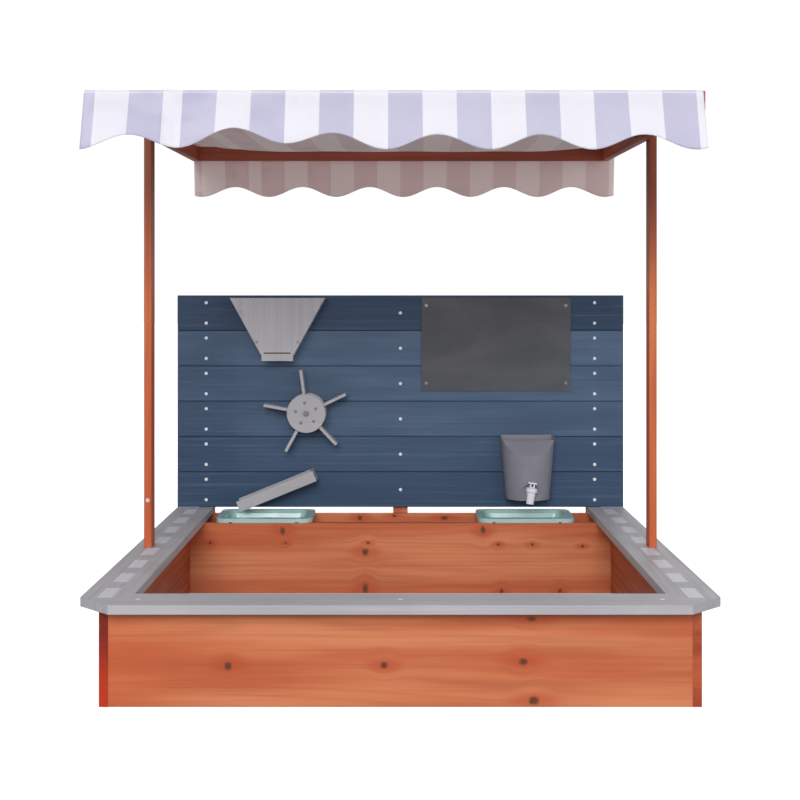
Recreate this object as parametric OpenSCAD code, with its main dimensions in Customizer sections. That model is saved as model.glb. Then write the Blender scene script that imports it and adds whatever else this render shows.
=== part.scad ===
// Children's sandbox with a tilting canopy and a water and sand play wall.
// Millimetres, +Z up, front towards -Y, origin at the middle of the footprint on the ground.

/* [Box] */
// Outer width over the two side boards
box_w = 1100; // [1060:10:1400]
// Outer depth, the length of the side boards
box_d = 1100; // [900:10:1400]
// Height of the box boards
board_h = 178; // [150:1:240]
// Thickness of every planed board
board_t = 17; // [14:0.2:22]
// Clear depth of the channel that the tubs hang in
channel_d = 134; // [120:1:180]
// Bevel on the long edges of the boards
edge = 1; // [0.4:0.1:2]

/* [Rim] */
// Width of the seat boards round the top
rim_w = 95; // [70:1:140]
// How far the seat boards stand out past the box
rim_overhang = 40; // [25:1:60]
// Leg of the cut-off front corners
rim_chamfer = 65; // [20:1:85]

/* [Play wall] */
// Height of one plank
plank_h = 93; // [70:0.5:120]
// Open joint between two planks
plank_gap = 0.5; // [0.2:0.1:2]
// Bevel along the face edges of a plank
plank_bevel = 1.6; // [0.8:0.1:3]
// Width of the battens behind the planks
batten_w = 39; // [30:1:60]
// Thickness of the battens
batten_t = 18; // [14:1:24]
// From the wall's side edge to the middle of the outer batten
batten_in = 76; // [50:1:120]
// Screws in an outer batten: distance above and below a plank's middle
screw_pair = 27; // [15:1:35]

/* [Posts] */
// Depth of a post, front to back
post_d = 38; // [30:1:50]
// How far the posts stand in front of the box's middle
post_forward = 22; // [0:1:60]
// Gap between the posts' feet and the ground
post_foot = 10; // [0:1:30]
// Height of the canopy's pivots above the ground
pivot_z = 1113; // [1000:1:1300]
// Height of the lone screw on the left post, above the seat boards
peg_z = 105; // [60:1:200]

/* [Canopy] */
// Length of the canopy frame, front to back
canopy_l = 1114; // [900:2:1300]
// Height of the frame's bars
bar_h = 36; // [28:1:50]
// How far the pivots lie below the middle of the side bars
pivot_drop = 2; // [1.5:0.5:6]
// Side gap between a post and the canopy frame
canopy_gap = 0.5; // [0.3:0.1:3]
// Tilt that the canopy is set to, rear edge up
canopy_set = 1.4; // [0:0.1:5]
// Fabric past the frame at each side
fabric_over = 8; // [0:1:20]
// Thickness of the fabric
fabric_t = 1.5; // [1:0.1:3]
// How far the roof sags in its middle
roof_sag = 41; // [0:1:80]
// Mean drop of the front valance
drop_front = 91; // [60:1:140]
// Mean drop of the rear valance
drop_rear = 116; // [60:1:160]
// Height of the hem's wave, from its middle line
hem_wave = 13.5; // [0:0.5:25]

/* [Toys on the wall] */
// How far the toys stand out from the wall
toy_out = 65; // [50:1:90]
// Thickness of the toys' boards
toy_t = 8; // [6:0.5:12]

/* [Funnel] */
// From the left batten's middle to the funnel's middle
funnel_in = 194; // [150:1:260]
// Gap from the funnel's top to the wall's top
funnel_down = 7; // [2:1:40]
// Width of the funnel's face at its top
funnel_top = 247; // [180:1:260]
// Width of the funnel's face at its throat
funnel_throat = 85; // [70:1:110]
// Height of the slanted part
funnel_h = 148; // [110:1:180]
// Height of the straight lip below the throat
lip_h = 16; // [10:1:30]
// Thickness of the slanted cheeks
cheek_t = 12; // [9:0.5:15]
// Width of the shutter slot
slot_w = 68; // [50:1:72]
// Height of the shutter slot
slot_h = 3.4; // [2.5:0.1:5]

/* [Wheel] */
// From the left batten's middle to the axle
wheel_in = 269; // [220:1:320]
// Height of the axle above the wall's lower edge
wheel_up = 253; // [230:1:300]
// Diameter of the two discs
disc_d = 100; // [80:1:130]
// Reach of the paddles from the axle
paddle_r = 113; // [80:1:125]
// Angle of the first paddle from the +X side
paddle_turn = 25.6; // [0:0.1:72]
// Radius of the axle bolt
axle_r = 4; // [3:0.5:5]

/* [Chute] */
// From the left batten's middle to the chute's middle
chute_in = 191.5; // [150:1:260]
// Height of the chute's middle above the wall's lower edge
chute_up = 50.3; // [45:0.1:80]
// Length of the chute
chute_l = 214; // [150:1:240]
// Height of the chute's side boards
chute_h = 29; // [22:1:40]
// Slope of the chute, high end towards the middle
chute_slope = 22.2; // [10:0.1:24]

/* [Blackboard] */
// Width of the blackboard
slate_w = 394; // [250:1:400]
// Height of the blackboard
slate_h = 247; // [150:1:260]
// Thickness of the blackboard
slate_t = 4; // [3:0.5:8]
// From the right batten's middle to the blackboard's middle
slate_in = 261; // [240:1:320]
// Gap from the blackboard's top to the wall's top
slate_down = 6; // [2:1:60]

/* [Water tank] */
// From the right batten's middle to the tank's middle
tank_in = 181; // [120:1:260]
// Height of the tank's foot above the wall's lower edge
tank_up = 30; // [20:1:80]
// Height of the tank at its back
tank_h = 162; // [130:1:200]
// How much lower the mouth is at its front edge
mouth_drop = 9; // [0:1:20]
// Half width, and radius of the round front, at the foot
tank_r_low = 57; // [45:1:65]
// Half width, and radius of the round front, at the top
tank_r_high = 70; // [60:1:80]
// Depth of the straight back part
tank_back = 36; // [25:1:50]
// From the round front's centre to the mouth's straight front edge
mouth_out = 18; // [10:1:30]
// Height of the sloping face below the mouth, on the middle line
face_h = 36; // [30:1:80]
// Wall thickness of the tank
tank_wall = 2.5; // [2:0.1:4]
// Gap between the tank and the wall
tank_gap = 2; // [1:0.5:5]
// Travel on the keyhole slots when the tank is lifted off
keyhole_travel = 12; // [11:1:18]

/* [Tap] */
// From the tank's middle line to the tap
tap_side = 1.5; // [-15:1:15]
// Height of the tap's inlet above the tank's foot
tap_up = 20; // [16:1:40]
// Sideways lean of the tap as it is screwed in
tap_lean = 8; // [0:1:12]
// From the tank's flat to the tap's upright axis
tap_out = 24; // [22:1:35]
// Outer radius of the tap's outlet
tap_r = 9.8; // [8:0.2:12]

/* [Tubs] */
// Width over the lip of a tub
tub_w = 246; // [180:1:260]
// Height of a tub, foot to lip
tub_h = 86; // [60:1:90]
// Height of the lip
tub_lip = 10.6; // [8:0.2:14]
// Wall thickness of a tub
tub_wall = 2.2; // [1.8:0.1:3]
// From the left batten's middle to the left tub's middle
tub_left_in = 167; // [150:1:260]
// From the right batten's middle to the right tub's middle
tub_right_in = 193; // [150:1:260]

/* [Hidden] */
PLANKS = 6;
PADDLES = 5;
HEM_WAVES = 6;
$fn = 48;

// Clearances: between fixed pieces, for a shaft that turns, and between faces that move past each other
FIT = 0.05;
RUN = 0.08;
CLEAR = 0.3;

// Planes of the box and the wall
total_d = rim_overhang + box_d + batten_t;
rim_y = -total_d / 2;
box_y = rim_y + rim_overhang;
rear_y = box_y + box_d;
wall_y = rear_y - board_t;
inner_y = wall_y - channel_d - board_t;
inside_x = box_w / 2 - board_t;
wall_w = box_w + 2 * rim_overhang;
wall_z = board_h + board_t;
plank_pitch = plank_h + plank_gap;
wall_top = wall_z + PLANKS * plank_pitch - plank_gap;
batten_x = wall_w / 2 - batten_in;

// Posts and canopy
post_y = box_y + box_d / 2 - post_forward;
post_x = box_w / 2;
bar_x = post_x - canopy_gap;
bar_top = bar_h / 2 + pivot_drop;
hem_w = 2 * (bar_x + fabric_over);

// Front faces of the toys, and the places that hang from the battens
toy_y = wall_y - toy_out;
funnel_x = -batten_x + funnel_in;
funnel_z = wall_top - funnel_down - funnel_h - lip_h;
funnel_k = (funnel_top - funnel_throat) / 2 / funnel_h;
cheek_x = cheek_t * sqrt(1 + funnel_k * funnel_k);
slot_z = funnel_z + lip_h + 2.7;
wheel_x = -batten_x + wheel_in;
wheel_z = wall_z + wheel_up;
chute_x = -batten_x + chute_in;
chute_z = wall_z + chute_up;
slate_x = batten_x - slate_in;
slate_z = wall_top - slate_down - slate_h;

// Tank: its frame has y = 0 at the round front's centre and z = 0 at the foot
tank_x = batten_x - tank_in;
tank_y = wall_y - tank_gap - tank_back;
tank_z = wall_z + tank_up;
mouth_z = tank_h - mouth_drop;
face_low = mouth_z - face_h;
function tank_r(z) = tank_r_low + (tank_r_high - tank_r_low) * z / tank_h;
face_run = tank_r(face_low) - mouth_out;
face_len = sqrt(face_run * face_run + face_h * face_h);
flat_w = 47;
flat_y = -tank_r(tap_up) + 6;
keyhole_r = 5.5;
keyhole_z = tank_h - 18;
keyhole_x = 35;
hang_r = 2;

// Tubs: the lip rests on the inner wall and on the rear wall
lip_set = 2;
tub_d = channel_d + 2 * board_t - 2 * lip_set;
bowl_gap = 3;
bowl_d = channel_d - 2 * bowl_gap;
bowl_w = tub_w - (tub_d - bowl_d);
bowl_draft = 16;
tub_y = wall_y - channel_d / 2;

// Fasteners
screw_head = 4.2;
screw_shank = 1.8;
screw_proud = 0.2;
pivot_r = 3;
post_screw_z = [55, 130];
rim_screw_in = 70;
post_screw_len = board_t + 13;

// ---- shared shapes ----

module bevelled(a, b, c) {
    polygon([[c, 0], [a - c, 0], [a, c], [a, b - c], [a - c, b], [c, b], [0, b - c], [0, c]]);
}

// A board along X, Y or Z from its low corner, with bevelled long edges
module board_x(l, d, h) { rotate([90, 0, 90]) linear_extrude(l) bevelled(d, h, edge); }
module board_y(w, l, h) { translate([0, l, 0]) rotate([90, 0, 0]) linear_extrude(l) bevelled(w, h, edge); }
module board_z(w, d, l) { linear_extrude(l) bevelled(w, d, edge); }

module rounded_plate(w, d, h, r) {
    linear_extrude(h) union() {
        square([w - 2 * r, d], center = true);
        square([w, d - 2 * r], center = true);
        for (x = [-1, 1], y = [-1, 1]) translate([x * (w / 2 - r), y * (d / 2 - r)]) circle(r);
    }
}

// A countersunk screw with its head at z = 0 and its point down, and the hole it needs
module screw(l) {
    difference() {
        union() {
            cylinder(r = screw_head, h = screw_proud);
            translate([0, 0, -2.4]) cylinder(r1 = screw_shank, r2 = screw_head, h = 2.4);
            translate([0, 0, -l]) cylinder(r = screw_shank, h = l - 2.4);
        }
        for (a = [0, 90]) rotate(a) translate([-1.9, -0.45, -1]) cube([3.8, 0.9, 3]);
    }
}
module screw_hole(l) {
    translate([0, 0, -FIT]) cylinder(r = screw_head + FIT, h = 2);
    translate([0, 0, -2.4 - FIT]) cylinder(r1 = screw_shank + FIT, r2 = screw_head + FIT, h = 2.4);
    translate([0, 0, -l - FIT]) cylinder(r = screw_shank + FIT, h = l);
}

// A round-headed screw, used where the head stands proud, and its hole
module pan_screw(l) {
    difference() {
        union() {
            cylinder(r = 4.6, h = 1.4);
            translate([0, 0, 1.4]) cylinder(r1 = 4.6, r2 = 3.2, h = 1.2);
            translate([0, 0, -l]) cylinder(r = 2.2, h = l);
        }
        translate([-3, -0.5, 1.5]) cube([6, 1, 3]);
    }
}
module pan_hole(l) { translate([0, 0, -l - FIT]) cylinder(r = 2.2 + FIT, h = l + 1); }

// Directions that a screw's head faces
module face_front() { rotate([90, 0, 0]) children(); }
module face_rear() { rotate([-90, 0, 0]) children(); }
module face_side(s) { rotate([0, s * 90, 0]) children(); }

// ---- box ----

box_screw_z = [45, board_h - 45];
box_screw_y = [box_y + board_t / 2, inner_y + board_t / 2, wall_y + board_t / 2];
box_screw_len = board_t + 30;
rim_screw_x = [-(box_w / 2 - rim_screw_in), 0, box_w / 2 - rim_screw_in];
rim_screw_len = board_t + 25;

module at_box_screws(s) {
    for (y = box_screw_y, z = box_screw_z) translate([s * box_w / 2, y, z]) face_side(s) children();
}
module at_rim_screws() {
    for (x = rim_screw_x) translate([x, box_y + board_t / 2, wall_z]) children();
}
module at_post_screws(s) {
    for (z = post_screw_z) translate([s * (post_x + board_t), post_y, z]) face_side(s) children();
}

module side_board(s) {
    color("#b8562c") difference() {
        translate([s > 0 ? inside_x : -box_w / 2, box_y, 0]) board_y(board_t, box_d, board_h);
        at_box_screws(s) screw_hole(box_screw_len);
        at_post_screws(s) pan_hole(post_screw_len);
    }
}

module cross_board(y) {
    translate([-inside_x, y, 0]) board_x(2 * inside_x, board_t, board_h);
}

module front_board() {
    color("#c4622f") difference() {
        cross_board(box_y);
        for (s = [-1, 1]) at_box_screws(s) screw_hole(box_screw_len);
        at_rim_screws() screw_hole(rim_screw_len);
    }
}
module inner_wall() {
    color("#c46a3c") difference() {
        cross_board(inner_y);
        for (s = [-1, 1]) at_box_screws(s) screw_hole(box_screw_len);
    }
}
module rear_wall() {
    color("#c46a3c") difference() {
        cross_board(wall_y);
        for (s = [-1, 1]) at_box_screws(s) screw_hole(box_screw_len);
        at_foot_screws() screw_hole(foot_screw_len);
    }
}
module box_screws() {
    color("#e4dccf") {
        for (s = [-1, 1]) at_box_screws(s) screw(box_screw_len);
        at_rim_screws() screw(rim_screw_len);
    }
}

// ---- rim of seat boards: a front board and two side boards, mitred at the cut corners ----

rim_x = box_w / 2 + rim_overhang;
mitre_x = rim_chamfer / 2;

module rim_front() {
    color("#8f9194") difference() {
        translate([0, 0, board_h]) linear_extrude(board_t) polygon([
            [-rim_x + rim_chamfer, rim_y], [rim_x - rim_chamfer, rim_y], [rim_x - mitre_x, rim_y + mitre_x],
            [rim_x - rim_w, rim_y + rim_w], [-rim_x + rim_w, rim_y + rim_w], [-rim_x + mitre_x, rim_y + mitre_x]]);
        at_rim_screws() screw_hole(rim_screw_len);
    }
}

module rim_side(s) {
    color("#8f9194") difference() {
        translate([0, 0, board_h]) linear_extrude(board_t) polygon([
            [s * (rim_x - mitre_x), rim_y + mitre_x], [s * rim_x, rim_y + rim_chamfer],
            [s * rim_x, wall_y], [s * (rim_x - rim_w), wall_y], [s * (rim_x - rim_w), rim_y + rim_w]]);
        translate([s > 0 ? post_x : -post_x - board_t, post_y - post_d / 2, 0])
            translate([-FIT, -FIT, 0]) cube([board_t + 2 * FIT, post_d + 2 * FIT, 2 * wall_z]);
    }
}

// ---- play wall ----

wall_screw_len = board_t + batten_t - 4;
foot_screw_len = board_t + batten_t - 4;
foot_screw_z = [75, 110];
column_x = [-batten_x, 0, batten_x];
function plank_mid(i) = wall_z + (i - 0.5) * plank_pitch - plank_gap / 2;
function screw_zs(c, i) = c == 1 ? [plank_mid(i)] : [plank_mid(i) - screw_pair, plank_mid(i) + screw_pair];

module at_wall_screws(c, i) {
    for (z = screw_zs(c, i)) translate([column_x[c], wall_y, z]) face_front() children();
}
module at_foot_screws() {
    for (x = column_x, z = foot_screw_z) translate([x, wall_y, z]) face_front() children();
}

// A plank in its place: a board with bevels along the two edges of its face
module plank_blank(i) {
    translate([-wall_w / 2, wall_y, wall_z + (i - 1) * plank_pitch]) rotate([90, 0, 90]) linear_extrude(wall_w)
        polygon([[plank_bevel, 0], [board_t, 0], [board_t, plank_h], [plank_bevel, plank_h],
                 [0, plank_h - plank_bevel], [0, plank_bevel]]);
}

module plank(i) {
    color("#2f4a63") difference() {
        plank_blank(i);
        for (c = [0 : 2]) at_wall_screws(c, i) screw_hole(wall_screw_len);
        if (abs(wheel_z - plank_mid(i)) < plank_pitch)
            translate([wheel_x, wall_y - 1, wheel_z]) face_rear() cylinder(r = axle_r + FIT, h = board_t + 2);
        if (abs(tank_z + keyhole_z - plank_mid(i)) < plank_pitch) at_tank_screws() pan_hole(board_t - 1);
        if (slate_z < plank_mid(i) + plank_h) at_slate_screws() screw_hole(slate_screw_len);
    }
}

module batten(c) {
    color("#b8562c") difference() {
        translate([column_x[c] - batten_w / 2, rear_y, 0]) board_z(batten_w, batten_t, wall_top);
        for (i = [1 : PLANKS]) at_wall_screws(c, i) screw_hole(wall_screw_len);
        at_foot_screws() screw_hole(foot_screw_len);
    }
}

module wall_screws() {
    color("#e4dccf") {
        for (c = [0 : 2], i = [1 : PLANKS]) at_wall_screws(c, i) screw(wall_screw_len);
        at_foot_screws() screw(foot_screw_len);
    }
}

// ---- posts ----

module at_peg() {
    translate([-post_x - board_t / 2, post_y - post_d / 2, wall_z + peg_z]) face_front() children();
}

// A post: flat board, rounded at its top about the canopy's pivot
module post(s) {
    x0 = s > 0 ? post_x : -post_x - board_t;
    color("#c4692f") difference() {
        union() {
            translate([x0, post_y - post_d / 2, post_foot]) board_z(board_t, post_d, pivot_z - post_foot);
            translate([x0, post_y, pivot_z]) rotate([0, 90, 0]) cylinder(r = post_d / 2, h = board_t);
        }
        translate([x0 - 1, post_y, pivot_z]) rotate([0, 90, 0]) cylinder(r = pivot_r + FIT, h = board_t + 2);
        at_post_screws(s) pan_hole(post_screw_len);
        at_peg() pan_hole(peg_len);
    }
}
peg_len = 24;

module post_screws() {
    color("#e8d8d4") {
        for (s = [-1, 1]) at_post_screws(s) pan_screw(post_screw_len);
        at_peg() pan_screw(peg_len);
    }
}

// ---- funnel ----

module funnel_outline() {
    t = funnel_top / 2;
    n = funnel_throat / 2;
    l = n - 1.5;
    polygon([[-l, 0], [l, 0], [l, lip_h], [n, lip_h], [t, lip_h + funnel_h], [-t, lip_h + funnel_h],
             [-n, lip_h], [-l, lip_h]]);
}

funnel_screw_z = [lip_h + 33, lip_h + 111];
funnel_screw_len = toy_t + 22;
module at_funnel_screws() {
    for (s = [-1, 1], z = funnel_screw_z)
        translate([funnel_x + s * (funnel_throat / 2 + (z - lip_h) * funnel_k - cheek_x / 2), toy_y, funnel_z + z])
            face_front() children();
}
module shutter_slot() {
    translate([funnel_x - slot_w / 2, toy_y - 1, slot_z]) cube([slot_w, toy_out + 1, slot_h]);
}

module funnel_front() {
    color("#8f9194") difference() {
        translate([funnel_x, toy_y + toy_t, funnel_z]) rotate([90, 0, 0]) linear_extrude(toy_t) funnel_outline();
        at_funnel_screws() screw_hole(funnel_screw_len);
        shutter_slot();
    }
}

// A slanted cheek: outer face along the front's edge, from the lip's foot to the top
module funnel_cheek(s) {
    x_low = funnel_throat / 2 - lip_h * funnel_k;
    x_high = funnel_top / 2;
    h = lip_h + funnel_h;
    color("#85888b") difference() {
        translate([funnel_x, wall_y, funnel_z]) rotate([90, 0, 0]) linear_extrude(toy_out - toy_t)
            polygon([[s * x_low, 0], [s * x_high, h], [s * (x_high - cheek_x), h], [s * (x_low - cheek_x), 0]]);
        at_funnel_screws() screw_hole(funnel_screw_len);
        shutter_slot();
    }
}

gate_recess = 1;
module funnel_gate() {
    color("#6a5a50")
        translate([funnel_x - slot_w / 2 + CLEAR, toy_y + gate_recess, slot_z + CLEAR / 2])
            cube([slot_w - 2 * CLEAR, toy_out - gate_recess - CLEAR, slot_h - CLEAR]);
}

// ---- blackboard ----

slate_screw_len = slate_t + board_t - 3;
module at_slate_screws() {
    for (x = [-1, 1], z = [21, slate_h - 21])
        translate([slate_x + x * (slate_w / 2 - 12.5), wall_y - slate_t, slate_z + z]) face_front() children();
}
module blackboard() {
    color("#525456") difference() {
        translate([slate_x - slate_w / 2, wall_y - slate_t, slate_z]) cube([slate_w, slate_t, slate_h]);
        at_slate_screws() screw_hole(slate_screw_len);
    }
}

module toy_screws() {
    color("#9a9ba0") {
        at_funnel_screws() screw(funnel_screw_len);
        at_slate_screws() screw(slate_screw_len);
    }
}

// ---- wheel ----

wheel_back = 4;
paddle_w = toy_out - wheel_back - 2 * toy_t;
paddle_in = 12;
wheel_screw_r = 0.28 * disc_d;
wheel_screw_len = toy_t + 14;
bolt_head_h = 5;
washer_t = 1.5;
washer_r = 7.5;

// Frame of the wheel: the axle along Z, z = 0 on the wall's face, pointing forwards
module at_wheel() { translate([wheel_x, wall_y, wheel_z]) face_front() children(); }
module at_wheel_screws() {
    for (k = [0 : PADDLES - 1]) rotate(paddle_turn + k * 360 / PADDLES) translate([wheel_screw_r, 0, 0]) {
        translate([0, 0, toy_out]) children();
        translate([0, 0, wheel_back]) rotate([180, 0, 0]) children();
    }
}

module wheel_disc(z) {
    color("#96989b") at_wheel() difference() {
        translate([0, 0, z]) cylinder(d = disc_d, h = toy_t, $fn = 96);
        translate([0, 0, z - 1]) cylinder(r = axle_r + RUN, h = toy_t + 2);
        at_wheel_screws() screw_hole(wheel_screw_len);
    }
}
module wheel_paddle(k) {
    color("#96989b") at_wheel() difference() {
        rotate(paddle_turn + (k - 1) * 360 / PADDLES)
            translate([paddle_in, -toy_t / 2, wheel_back + toy_t])
                board_x(paddle_r - paddle_in, toy_t, paddle_w);
        at_wheel_screws() screw_hole(wheel_screw_len);
    }
}
module wheel_screws() { color("#9a9ba0") at_wheel() at_wheel_screws() screw(wheel_screw_len); }

module wheel_bolt() {
    z_low = -board_t - washer_t - 8;
    z_head = toy_out + CLEAR + washer_t;
    color("#a9abae") at_wheel() {
        translate([0, 0, z_low]) cylinder(r = axle_r, h = z_head - z_low);
        translate([0, 0, z_head]) cylinder(r = 1.45 * axle_r, h = bolt_head_h);
    }
}
module wheel_washers() {
    color("#a9abae") at_wheel() {
        translate([0, 0, toy_out + CLEAR]) ring(washer_r, washer_t);
        ring(washer_r, wheel_back - CLEAR);
        translate([0, 0, -board_t - washer_t]) ring(washer_r, washer_t);
    }
}
module ring(r, h) {
    difference() {
        cylinder(r = r, h = h);
        translate([0, 0, -1]) cylinder(r = axle_r + FIT, h = h + 2);
    }
}
module wheel_nut() {
    color("#a9abae") at_wheel() translate([0, 0, -board_t - washer_t - 6.4]) difference() {
        cylinder(r = 1.85 * axle_r, h = 6.4, $fn = 6);
        translate([0, 0, -1]) cylinder(r = axle_r + FIT, h = 9);
    }
}

// ---- chute: a trough of four boards, open at its low end ----

// Frame of the chute: X along it, Z square to its floor, y = 0 on the wall's face
module at_chute() { translate([chute_x, wall_y, chute_z]) rotate([0, -chute_slope, 0]) children(); }
chute_gap = toy_out - 2 * toy_t;

module chute_front() {
    color("#8f9194") at_chute() translate([-chute_l / 2, -toy_out, -chute_h / 2]) board_x(chute_l, toy_t, chute_h);
}
module chute_back() {
    color("#85888b") at_chute() translate([-chute_l / 2, -toy_t, -chute_h / 2]) board_x(chute_l, toy_t, chute_h);
}
module chute_floor() {
    color("#85888b") at_chute() translate([-chute_l / 2, -toy_t - chute_gap, -chute_h / 2])
        cube([chute_l, chute_gap, toy_t]);
}
module chute_end() {
    color("#85888b") at_chute() translate([chute_l / 2 - toy_t, -toy_t - chute_gap, -chute_h / 2 + toy_t])
        cube([toy_t, chute_gap, chute_h - toy_t]);
}

// ---- water tank with its tap ----

module at_tank() { translate([tank_x, tank_y, tank_z]) children(); }
module at_tank_screws() {
    at_tank() for (x = [-1, 1]) translate([x * keyhole_x, tank_back + tank_gap, keyhole_z]) face_front() children();
}

// Bucket shape: a cone for the round front and a tapered block behind it, drawn in by w all round
module bucket(w) {
    cylinder(r1 = tank_r_low - w, r2 = tank_r_high - w, h = tank_h, $fn = 96);
    translate([0, tank_back - w, 0]) rotate([90, 0, 0]) linear_extrude(tank_back - w) polygon([
        [-tank_r_low + w, 0], [tank_r_low - w, 0], [tank_r_high - w, tank_h], [-tank_r_high + w, tank_h]]);
}
// Side outline of the tank, drawn in by w behind the sloping face, as a slab across X
module side_slab(w, z0, z1) {
    reach = 100;
    y0 = -mouth_out + w * face_len / face_h;
    rotate([90, 0, 90]) translate([0, 0, -reach]) linear_extrude(2 * reach) polygon([
        [tank_back - w, z0], [tank_back - w, z1], [y0, w > 0 ? z1 : mouth_z], [y0, mouth_z],
        [y0 - reach * face_run / face_h, mouth_z - reach], [y0 - reach * face_run / face_h, z0]]);
}
// Arch-shaped flat round the tap, grown by w, from the outside in to y
module tap_flat(w, y) {
    translate([tap_side, y, tap_up]) face_front() {
        cylinder(r = flat_w / 2 + w, h = 60);
        translate([-flat_w / 2 - w, -tap_up - 10, 0]) cube([flat_w + 2 * w, tap_up + 10, 60]);
    }
}
module tank_body() {
    color("#7b7b85") at_tank() difference() {
        intersection() { bucket(0); side_slab(0, 0, tank_h); }
        difference() {
            intersection() { bucket(tank_wall); side_slab(tank_wall, tank_wall, 2 * tank_h); }
            tap_flat(tank_wall, flat_y + tank_wall);
        }
        tap_flat(0, flat_y);
        translate([tap_side, flat_y - 1, tap_up]) face_rear() cylinder(r = 5 + FIT, h = tank_wall + 2);
        for (x = [-1, 1]) translate([x * keyhole_x, tank_back - tank_wall - 1, keyhole_z]) face_rear() {
            translate([0, keyhole_travel, 0]) cylinder(r = keyhole_r, h = tank_wall + 2);
            cylinder(r = hang_r + 0.5, h = tank_wall + 2);
            translate([-hang_r - 0.5, 0, 0]) cube([2 * hang_r + 1, keyhole_travel, tank_wall + 2]);
        }
    }
}
module tank_screws() {
    color("#a9abae") at_tank_screws() {
        translate([0, 0, -board_t + 1.2]) cylinder(r = hang_r, h = board_t + tank_gap + tank_wall);
        translate([0, 0, tank_gap + tank_wall + CLEAR]) cylinder(r1 = 4.5, r2 = 3.2, h = 1.8);
    }
}

// Frame of the tap: z along its upright axis, z = 0 at the height of the inlet
module at_tap() {
    at_tank() translate([tap_side, flat_y - tap_out, tap_up]) rotate([0, tap_lean, 0]) children();
}
shoulder_z = 17;
shoulder_r = 14.2;
module tap_body() {
    color("#e9e7ee") at_tap() difference() {
        union() {
            translate([0, 0, -24]) cylinder(r1 = tap_r, r2 = tap_r + 1.4, h = 29);
            translate([0, 0, 5]) cylinder(r1 = tap_r + 1.4, r2 = shoulder_r, h = 2);
            translate([0, 0, 7]) cylinder(r = shoulder_r, h = shoulder_z - 9);
            translate([0, 0, shoulder_z - 2]) cylinder(r1 = shoulder_r, r2 = shoulder_r - 3, h = 2);
            face_rear() cylinder(r = 7, h = tap_out - 2);
            translate([0, tap_out - 2.5, 0]) face_rear() cylinder(r = 10, h = 2.5);
            face_rear() cylinder(r = 5, h = tap_out + tank_wall + 5);
        }
        translate([0, 0, -25]) cylinder(r = tap_r - 3, h = 22);
        face_rear() cylinder(r = 3, h = tap_out + 20);
    }
}
module tap_handle() {
    color("#f1eff5") at_tap() translate([0, 0, shoulder_z + CLEAR]) {
        cylinder(r = 8, h = 2.2);
        for (x = [-1, 1]) translate([x * 4.6 - 1.6, -3.5, 2.2]) cube([3.2, 7, 8]);
        translate([0, 0, 10.2]) rounded_plate(24, 11, 3.6, 5.4);
    }
}

// ---- tubs ----

// A tapered bowl: rounded plan at the top, drawn in towards its foot, which is turned in by f
module bowl(w, d, h, draft, r, f) {
    hull() {
        rounded_plate(w - 2 * draft - 2 * f, d - 2 * draft - 2 * f, 0.5, r - f / 2);
        translate([0, 0, f + 2]) rounded_plate(w - 2 * draft + f / 2, d - 2 * draft + f / 2, 0.5, r);
        translate([0, 0, h - 0.5]) rounded_plate(w, d, 0.5, r);
    }
}
notch_w = 8;
foot_turn = 8;
module tub(x) {
    h = tub_h - tub_lip;
    color("#a0c3c1") translate([x, tub_y, board_h - h]) difference() {
        union() {
            bowl(bowl_w, bowl_d, h + 1, bowl_draft, 22, foot_turn);
            translate([0, 0, h]) rounded_plate(tub_w, tub_d, tub_lip, 26);
        }
        translate([0, 0, h - 1]) difference() {
            rounded_plate(tub_w - 2 * tub_wall, tub_d - 2 * tub_wall, tub_lip + 1 - tub_wall, 26 - tub_wall);
            rounded_plate(bowl_w, bowl_d, tub_lip + 2, 22);
        }
        translate([0, 0, tub_wall])
            bowl(bowl_w - 2 * tub_wall, bowl_d - 2 * tub_wall, h, bowl_draft, 22 - tub_wall, foot_turn);
        translate([0, 0, h + tub_wall - 0.5])
            rounded_plate(bowl_w - 2 * tub_wall, bowl_d - 2 * tub_wall, tub_lip, 22 - tub_wall);
        for (s = [-1, 1]) translate([s * 0.34 * tub_w - notch_w / 2, -tub_d / 2 - 1, h - 1])
            cube([notch_w, 1 + 2 * tub_wall, 3]);
    }
}

// ---- canopy ----

// Frame of the canopy: the origin is the pivots' axis, z is square to the roof
module on_canopy() { translate([0, post_y, pivot_z]) rotate([canopy_set, 0, 0]) children(); }

canopy_screw_len = board_t + 26;
module at_canopy_screws() {
    for (s = [-1, 1], y = [-1, 1], z = [-9, 9])
        translate([s * bar_x, y * (canopy_l / 2 - board_t / 2), bar_top - bar_h / 2 + z]) face_side(s) children();
}
module canopy_side_bar(s) {
    x0 = s > 0 ? bar_x - board_t : -bar_x;
    color("#9a4a2c") on_canopy() difference() {
        translate([x0, -canopy_l / 2, bar_top - bar_h]) board_y(board_t, canopy_l, bar_h);
        translate([x0 - 1, 0, 0]) rotate([0, 90, 0]) cylinder(r = pivot_r + RUN, h = board_t + 2);
        at_canopy_screws() screw_hole(canopy_screw_len);
    }
}
module canopy_cross_bar(y) {
    l = 2 * (bar_x - board_t);
    color("#9a4a2c") on_canopy() difference() {
        translate([-l / 2, y, bar_top - bar_h]) board_x(l, board_t, bar_h);
        at_canopy_screws() screw_hole(canopy_screw_len);
    }
}
module canopy_screws() { color("#e4dccf") on_canopy() at_canopy_screws() screw(canopy_screw_len); }

top_gap = 0.3;
// Sag of the roof: none over the bars, and flat in the middle, as a sheet held on four sides hangs
sag_x = bar_x - board_t - 1;
sag_y = canopy_l / 2 - board_t - 1;
function sag(x, y) = roof_sag * (1 - pow(min(1, abs(x) / sag_x), 4)) * (1 - pow(min(1, abs(y) / sag_y), 3));
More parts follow.
